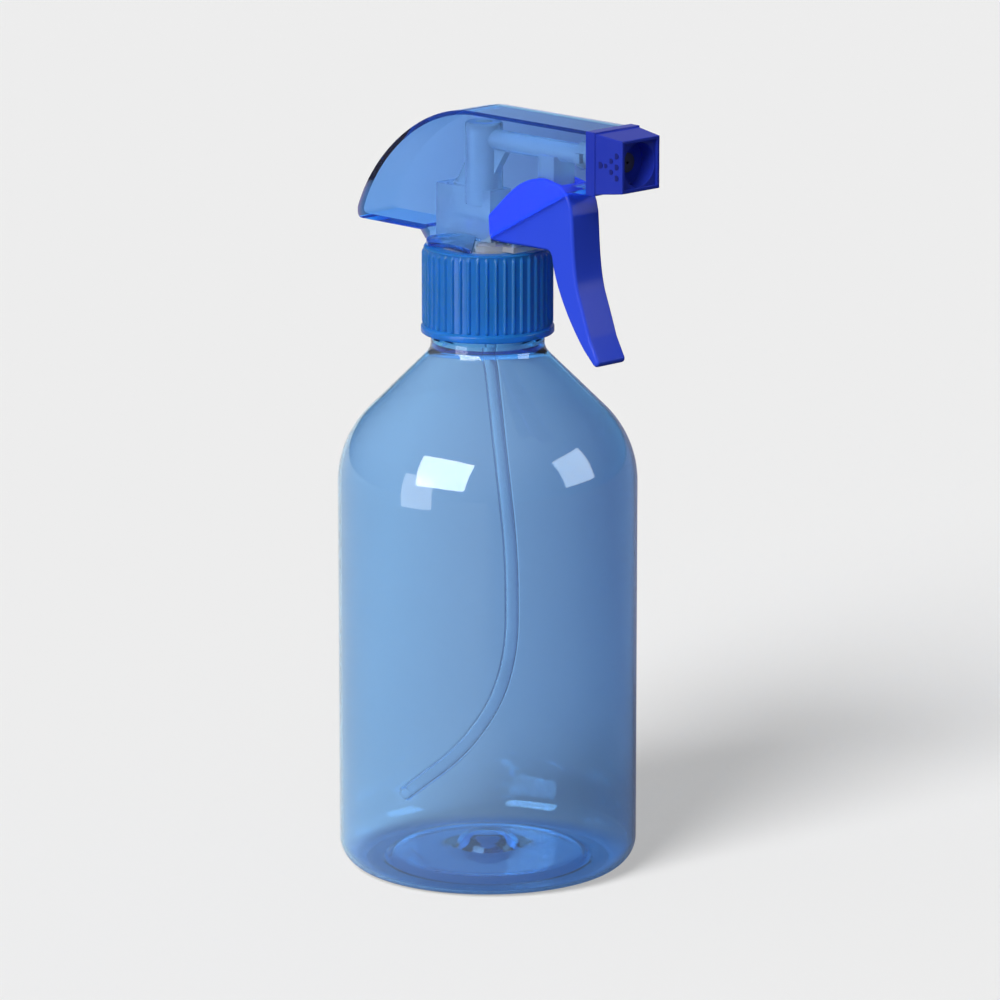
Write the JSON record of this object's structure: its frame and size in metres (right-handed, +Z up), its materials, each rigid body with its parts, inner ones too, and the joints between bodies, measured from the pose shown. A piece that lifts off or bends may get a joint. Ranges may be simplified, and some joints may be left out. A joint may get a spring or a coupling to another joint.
{
  "type": "spray bottle",
  "caption": "Clear blue round bottle with a ribbed screw collar, trigger pump under a narrow clear cover, bent dip tube and a square turning nozzle.",
  "frame": {"origin": "centre of the bottle's base, on the surface it stands on", "axes": "+X the way it sprays, +Y to the left of the spray as seen from behind, +Z up along the bottle's axis"},
  "size_m": [0.093, 0.075, 0.1932],
  "materials": {
    "clear_blue": "clear tinted, gloss",
    "closure_blue": "translucent tinted, gloss",
    "cover_blue": "clear tinted, gloss",
    "trigger_blue": "translucent tinted, gloss",
    "nozzle_blue": "translucent tinted, gloss",
    "insert_navy": "moulded",
    "pump_white": "frosted, natural polypropylene",
    "white_seal": "soft, matt",
    "ring_rubber": "matt",
    "clear_tube": "clear",
    "valve_ball": "polished",
    "spring_steel": "drawn wire",
    "pin_steel": "drawn rod"
  },
  "bodies": {
    "bottle": {"bottle": "clear_blue"},
    "head": {"pump_body": "pump_white", "neck_gasket": "white_seal", "tube_holder": "pump_white", "dip_tube": "clear_tube", "channel_plug": "pump_white", "tower_cap": "pump_white", "nozzle_holder": "pump_white", "swirl_insert": "pump_white", "nozzle_seal": "ring_rubber", "shroud": "cover_blue", "return_spring": "spring_steel", "outlet_spring": "spring_steel"},
    "collar": {"closure": "closure_blue"},
    "lever": {"trigger": "trigger_blue", "pivot_pin": "pin_steel", "drive_pin": "pin_steel"},
    "plunger": {"piston": "trigger_blue", "piston_seal_front": "white_seal", "piston_seal_rear": "white_seal"},
    "inlet_valve": {"inlet_ball": "valve_ball"},
    "outlet_valve": {"outlet_ball": "valve_ball"},
    "nozzle_cap": {"nozzle": "nozzle_blue", "orifice_insert": "insert_navy"}
  },
  "joints": [
    {"name": "head_lift", "type": "slide", "parent": "bottle", "child": "head", "axis": [0, 0, 1], "range_m": [0, 0.00635]},
    {"name": "closure_turn", "type": "hinge", "parent": "head", "child": "collar", "pos_m": [0, 0, 0.1475], "axis": [0, 0, 1], "range_deg": [0, 540]},
    {"name": "trigger_pull", "type": "hinge", "parent": "head", "child": "lever", "pos_m": [0.0243, 0, 0.1755], "axis": [0, 1, 0], "range_deg": [0, 20], "stiffness_Nm_per_rad": 0.25, "springref_deg": -20.05},
    {"name": "piston_stroke", "type": "slide", "parent": "head", "child": "plunger", "axis": [-1, 0, 0], "range_m": [0, 0.0045], "deforming": ["return_spring"]},
    {"name": "inlet_ball_lift", "type": "slide", "parent": "head", "child": "inlet_valve", "axis": [0, 0, 1], "range_m": [0, 0.001]},
    {"name": "outlet_ball_lift", "type": "slide", "parent": "head", "child": "outlet_valve", "axis": [0, 0, 1], "range_m": [0, 0.0012], "stiffness_N_per_m": 60, "springref_m": -0.003, "deforming": ["outlet_spring"]},
    {"name": "nozzle_turn", "type": "hinge", "parent": "head", "child": "nozzle_cap", "pos_m": [0.0475, 0, 0.1854], "axis": [1, 0, 0], "continuous": true}
  ],
  "couplings": [
    {"joint": "closure_turn", "follows": "head_lift", "rad_per_m": 1484.2},
    {"joint": "piston_stroke", "follows": "trigger_pull", "m_per_rad": 0.012835}
  ]
}
